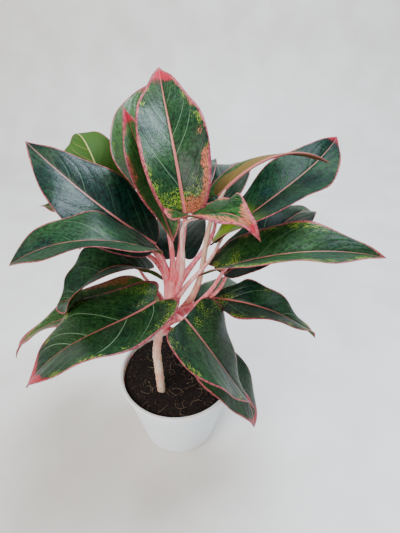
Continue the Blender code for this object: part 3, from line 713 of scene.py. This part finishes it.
def stalk_line(shape, steps):
    """A stalk's middle line: a cubic Bezier curve that leaves the cane's side, along the cane or
    swung outwards, and runs in under the base of its blade, where it sinks into the keel. Gives
    the side its blade faces too."""
    line, _ = smooth_line(CANE_LINE, 200)
    heights = shape["node"] + np.array((-2.0, 0.0, 2.0))
    below, middle, above = np.column_stack(
        [np.interp(heights, line[:, 2], line[:, axis]) for axis in range(3)])
    outward = unit((shape["base"] - middle) * (1, 1, 0))
    start = middle + outward * CLASP
    ahead, _, out = (vector[0] for vector in midrib_frame(shape, np.array([0.0])))
    under = BLADE_THICKNESS / 2 + RIB_DEPTH + 0.3 + STALK_TIP_RADIUS * shape["stout"]
    end = shape["base"] - out * under + ahead
    reach = np.linalg.norm(end - start)
    leave = start + unit(unit(above - below) + shape["swing"] * outward) * reach * 0.45
    arrive = end - unit(ahead + shape["lift"] * out) * reach * 0.35
    t = np.linspace(0, 1, steps)[:, None]
    curve = ((1 - t) ** 3 * start + 3 * (1 - t) ** 2 * t * leave + 3 * (1 - t) * t ** 2 * arrive
             + t ** 3 * end)
    inside = shape["base"] + ahead * STALK_SUNK - out * 0.6
    sink = smooth_step(np.linspace(0.15, 1, 8)[:, None], 0, 1)
    return np.vstack((curve, end + (inside - end) * sink)), out


def add_stalks():
    """All stalks: a wide clasping sheath, then an even taper, with a groove down the upper side
    that is just over a quarter of the radius deep. The foot closes down on the cane and the end
    thins away in the blade's keel."""
    angles = np.arange(STALK_SIDES) * 2 * math.pi / STALK_SIDES
    aside = np.minimum(angles, 2 * math.pi - angles)
    groove = 1 - 0.28 * np.exp(-(aside / 0.55) ** 2)
    wide = 1 + 0.16 * np.sin(angles) ** 2
    points, faces, tint, olive = [], [], [], []
    count = 0
    for shape in LEAVES:
        line, out = stalk_line(shape, STALK_ROWS)
        t = np.clip(np.linspace(0, len(line) / STALK_ROWS, len(line)), 0, 1)
        sheath = np.minimum(1, t / SHEATH_SHARE)
        slim = np.maximum(0, (t - SHEATH_SHARE) / (1 - SHEATH_SHARE))
        radius = (SHEATH_RADIUS + (STALK_RADIUS - SHEATH_RADIUS) * sheath
                  + (STALK_TIP_RADIUS - STALK_RADIUS) * slim)
        radius[STALK_ROWS:] *= np.linspace(0.95, 0.35, len(line) - STALK_ROWS)
        radius[:4] *= np.linspace(0.55, 1, 4)
        radii = shape["stout"] * radius[:, None] * (groove * wide)[None, :]
        ring_points, ring_faces = tube(line, radii, out + (0, 0, 0.2))
        points.append(ring_points)
        faces += [[corner + count for corner in face] for face in ring_faces]
        turned = np.repeat(smooth_step(t, 0, 0.5), STALK_SIDES)
        tint.append(shape["pale"] * np.concatenate((turned, (0, 1))))
        olive.append(np.full(len(ring_points), shape["olive"]))
        count += len(ring_points)
    add_piece("stalks", np.vstack(points), faces, stalk_skin(), ["stem"],
              {"tint": np.concatenate(tint), "olive": np.concatenate(olive)})


# ---- soil -------------------------------------------------------------------------------------

def soil_height(x, y):
    """The settled surface: low humps where waves in three directions meet."""
    humps = np.sin(x / 9 + 1) + np.sin(y / 7.5 + x / 20) + np.sin((x - y) / 11 + 2)
    return SOIL_TOP + SOIL_SWELL * humps / 3


def crumbs(x, y):
    """Crumbly relief: three sizes of smooth noise, each about two thirds as high as the last."""
    flat = np.stack((x, y, np.zeros_like(x)), axis=-1)
    return 0.9 * lumps(flat, 6.0, 21) + 0.6 * lumps(flat, 2.7, 22) + 0.35 * lumps(flat, 1.3, 23)


def add_soil():
    """A plug in the pot: rings of points from the middle of its top out to the wall, down the
    wall and back to the middle of its foot. The top settles by the wall, by the square of how
    far a point is into the strip that sinks."""
    wall = SHOULDER_RADIUS - POT_WALL - SOIL_GAP
    low_wall = BASE_RADIUS - POT_WALL - SOIL_GAP
    angles = np.arange(SOIL_SIDES) * 2 * math.pi / SOIL_SIDES
    radius = np.concatenate((np.linspace(0.6, wall - 1, SOIL_RINGS), (wall - 0.2, low_wall, 1)))
    x = radius[:, None] * np.cos(angles)
    y = radius[:, None] * np.sin(angles)
    top = slice(0, SOIL_RINGS)
    strip = np.clip((radius[top] - wall + SETTLE_WIDTH) / SETTLE_WIDTH, 0, 1)
    settle = SETTLE_DEPTH * strip ** 2
    z = np.full(x.shape, SOIL_FOOT)
    z[top] = soil_height(x[top], y[top]) + crumbs(x[top], y[top]) - settle[:, None]
    z[SOIL_RINGS] = SOIL_TOP - 2.5
    count = x.size
    ends = np.array([(0, 0, z[0].mean()), (0, 0, SOIL_FOOT)])
    points = np.vstack((np.stack((x, y, z), axis=-1).reshape(-1, 3), ends))
    step = np.arange(SOIL_SIDES)
    after = (step + 1) % SOIL_SIDES
    foot = count - SOIL_SIDES
    faces = np.array(grid_faces(len(radius), SOIL_SIDES, around=True))[:, ::-1].tolist()
    faces += np.column_stack((np.full(SOIL_SIDES, count), step, after)).tolist()
    faces += np.column_stack((np.full(SOIL_SIDES, count + 1), foot + after, foot + step)).tolist()
    add_piece("potting_mix", points, faces, potting_mix(), ["soil"])


def scatter_places(draw, count, reach):
    """Random points on the soil, evenly spread over the disc."""
    radius = reach * np.sqrt(draw.uniform(0, 1, count))
    angle = draw.uniform(0, 2 * math.pi, count)
    return radius * np.cos(angle), radius * np.sin(angle)


def add_fibres():
    """Coir fibres: thin five-sided tubes along flat arcs of random curl that lie on the crumbs."""
    draw = np.random.default_rng(31)
    points, faces = [], []
    count = 0
    rings = 9
    t = np.linspace(-1, 1, rings)
    for x, y in zip(*scatter_places(draw, FIBRES, 50)):
        step = 2 * draw.uniform(1.5, 8.0) / (rings - 1)
        heading = draw.uniform(0, 2 * math.pi) + draw.normal(0, 0.8) * t
        px = x + np.cumsum(np.cos(heading)) * step
        py = y + np.cumsum(np.sin(heading)) * step
        inside = np.minimum(1, 56 / np.maximum(np.hypot(px, py), 1))
        px, py = px * inside, py * inside
        pz = soil_height(px, py) + 1.1 + draw.uniform(0, 0.8) + 0.25 * draw.normal(0, 1, rings)
        line = np.column_stack((px, py, pz))
        radii = np.full((rings, 5), draw.uniform(0.06, 0.11))
        tube_points, tube_faces = tube(line, radii, (0.1, 0.2, 1))
        points.append(tube_points)
        faces += [[corner + count for corner in face] for face in tube_faces]
        count += len(tube_points)
    add_piece("coir_fibres", np.vstack(points), faces, coir_fibre(), ["soil"])


def add_chips():
    """Bark chips: squashed six-sided rounds of random size and turn, half sunk in the mix."""
    draw = np.random.default_rng(32)
    points, faces = [], []
    count = 0
    t = np.linspace(0.08, 0.92, 4)
    for x, y in zip(*scatter_places(draw, CHIPS, 55)):
        size = draw.uniform(0.5, 1.7)
        spin = draw.uniform(0, 2 * math.pi)
        ahead = np.array((math.cos(spin), math.sin(spin), draw.uniform(-0.4, 0.4)))
        middle = np.array((x, y, soil_height(x, y) + 0.5))
        line = middle + (t[:, None] * 2 - 1) * ahead * size
        radii = np.sin(math.pi * t)[:, None] * size * draw.uniform(0.4, 0.9, (4, 6))
        chip_points, chip_faces = tube(line, radii, (0.1, 0.2, 1))
        points.append(chip_points)
        faces += [[corner + count for corner in face] for face in chip_faces]
        count += len(chip_points)
    add_piece("bark_chips", np.vstack(points), faces, bark_chip(), ["soil"])


# ---- pot --------------------------------------------------------------------------------------

def arc(centre, radius, start, end, steps=7):
    """Points (radius, height) on part of a circle, with its angles in degrees."""
    angle = np.radians(np.linspace(start, end, steps))
    return np.column_stack((centre[0] + radius * np.cos(angle), centre[1] + radius * np.sin(angle)))


def add_pot():
    """The pot turned from one profile: a flat underside, a rounded foot, a straight taper, a rim
    rolled outwards and down, and the inside wall and floor. The drain holes are cut through the
    floor."""
    top = POT_HEIGHT - RIM_DEPTH
    inner = SHOULDER_RADIUS - POT_WALL
    lip, edge, foot = LIP_RADIUS, EDGE_RADIUS, FOOT_RADIUS
    profile = np.vstack((
        [(0.5, 0.0), (20, 0.0), (BASE_RADIUS - foot, 0.0)],
        arc((BASE_RADIUS + 0.4 - foot, foot), foot, -80, -8),
        np.column_stack((np.linspace(BASE_RADIUS + 0.6, SHOULDER_RADIUS, 24),
                         np.linspace(5.0, top, 24))),
        [(SHOULDER_RADIUS + 0.5, top), (RIM_RADIUS - 0.7, top + 0.1)],
        arc((RIM_RADIUS - edge, top + 0.1 + edge), edge, -70, 0, 4),
        arc((RIM_RADIUS - lip, POT_HEIGHT - lip), lip, 0, 90),
        arc((inner + lip, POT_HEIGHT - lip), lip, 90, 180),
        np.column_stack((np.linspace(inner, BASE_RADIUS - 1.2, 12),
                         np.linspace(top - 2, POT_FLOOR + 1.5, 12))),
        [(BASE_RADIUS - 3.5, POT_FLOOR), (20, POT_FLOOR), (0.5, POT_FLOOR)]))
    # half a step round, so that no edge runs through the middle of a drain hole
    angles = (np.arange(POT_SIDES) + 0.5) * 2 * math.pi / POT_SIDES
    rings = np.stack((profile[:, :1] * np.cos(angles), profile[:, :1] * np.sin(angles),
                      np.broadcast_to(profile[:, 1:], (len(profile), POT_SIDES))), axis=-1)
    count = len(profile) * POT_SIDES
    points = np.vstack((rings.reshape(-1, 3), [(0, 0, 0), (0, 0, POT_FLOOR)]))
    step = np.arange(POT_SIDES)
    after = (step + 1) % POT_SIDES
    inmost = count - POT_SIDES
    faces = grid_faces(len(profile), POT_SIDES, around=True)
    faces += np.column_stack((np.full(POT_SIDES, count), after, step)).tolist()
    faces += np.column_stack((np.full(POT_SIDES, count + 1), inmost + step,
                              inmost + after)).tolist()
    pot = add_piece("pot_shell", points, faces, pot_plastic(), ["pot"])
    for hole in range(DRAIN_HOLES):
        angle = (hole + 0.5) * 2 * math.pi / DRAIN_HOLES
        bpy.ops.mesh.primitive_cylinder_add(
            vertices=32, radius=DRAIN_RADIUS * MM, depth=20 * MM,
            location=(DRAIN_CIRCLE * math.cos(angle) * MM, DRAIN_CIRCLE * math.sin(angle) * MM, 0))
        drill = bpy.context.object
        cut = pot.modifiers.new("Drain", "BOOLEAN")
        cut.operation = "DIFFERENCE"
        cut.object = drill
        bpy.context.view_layer.update()
        bored = bpy.data.meshes.new_from_object(
            pot.evaluated_get(bpy.context.evaluated_depsgraph_get()))
        pot.modifiers.clear()
        pot.data = bored
        bpy.data.objects.remove(drill, do_unlink=True)
    pot.data.set_sharp_from_angle(angle=math.radians(50))


# ---- stage ------------------------------------------------------------------------------------

def add_stage():
    """A pale floor that sweeps up into a backdrop, a large soft light overhead, a weaker one in
    front and an even, faintly cool surround. The lights' places and sizes are in metres."""
    material, tree, shader = new_material("pale_stone", Roughness=0.6)
    place = add(tree, "TexCoord", out="Object")
    cloud = add(tree, "MapRange", add(tree, "TexNoise", place, 1 / (90 * MM), 4.0), 0.3, 0.7,
                **SMOOTH)
    stone = add(tree, "Mix", cloud, colour("#CFCAC3"), colour("#D9D5CF"), **TINT)
    tree.links.new(stone, shader.inputs["Base Color"])
    t = np.linspace(0, math.pi / 2, 12)
    y = np.concatenate(([-1500], 700 + 300 * np.sin(t), [1000]))
    z = np.concatenate(([0], 300 - 300 * np.cos(t), [2200]))
    x = np.array([-2500, 2500])
    grid = np.stack(np.broadcast_arrays(x[None, :], y[:, None], z[:, None]), axis=-1)
    mesh = bpy.data.meshes.new("studio_floor")
    mesh.from_pydata((grid.reshape(-1, 3) * MM).tolist(), [], grid_faces(len(y), len(x)))
    mesh.materials.append(material)
    mesh.shade_smooth()
    floor = bpy.data.objects.new("studio_floor", mesh)
    bpy.context.collection.objects.link(floor)
    for name, spot, size, power, tint in (
            ("overhead", (0.38, 0.30, 1.35), 0.6, 38, "#DDEDFF"),
            ("front_fill", (-0.8, -0.9, 1.1), 0.9, 26, "#FFF8F0")):
        light = bpy.data.lights.new(name, "AREA")
        light.shape = "SQUARE"
        light.size = size
        light.energy = power
        light.color = colour(tint)[:3]
        lamp = bpy.data.objects.new(name, light)
        lamp.location = spot
        aim = np.array((0.0, 0.0, 0.2)) - spot
        pitch = math.atan2(math.hypot(aim[0], aim[1]), -aim[2])
        lamp.rotation_euler = (pitch, 0, math.atan2(-aim[0], aim[1]))
        bpy.context.collection.objects.link(lamp)
    world = bpy.data.worlds.new("soft_surround")
    world.use_nodes = True
    back = world.node_tree.nodes["Background"]
    back.inputs["Color"].default_value = colour("#E6EAF0")
    back.inputs["Strength"].default_value = 0.85
    bpy.context.scene.world = world


def add_camera():
    """Looks down at the plant from a little above its top, close in front of it. Its place is in
    metres."""
    lens = bpy.data.cameras.new("camera")
    lens.lens = 27.19
    lens.sensor_width = 36.0
    lens.clip_start = 0.01
    camera = bpy.data.objects.new("camera", lens)
    camera.location = (0.025, -0.285, 0.4545)
    camera.rotation_euler = (math.radians(52.8), 0, 0)
    bpy.context.collection.objects.link(camera)
    bpy.context.scene.camera = camera


add_pot()
add_soil()
add_fibres()
add_chips()
add_cane()
add_stalks()
for leaf_number, leaf_shape in enumerate(LEAVES, start=1):
    add_blade(leaf_number, leaf_shape)
add_stage()
add_camera()
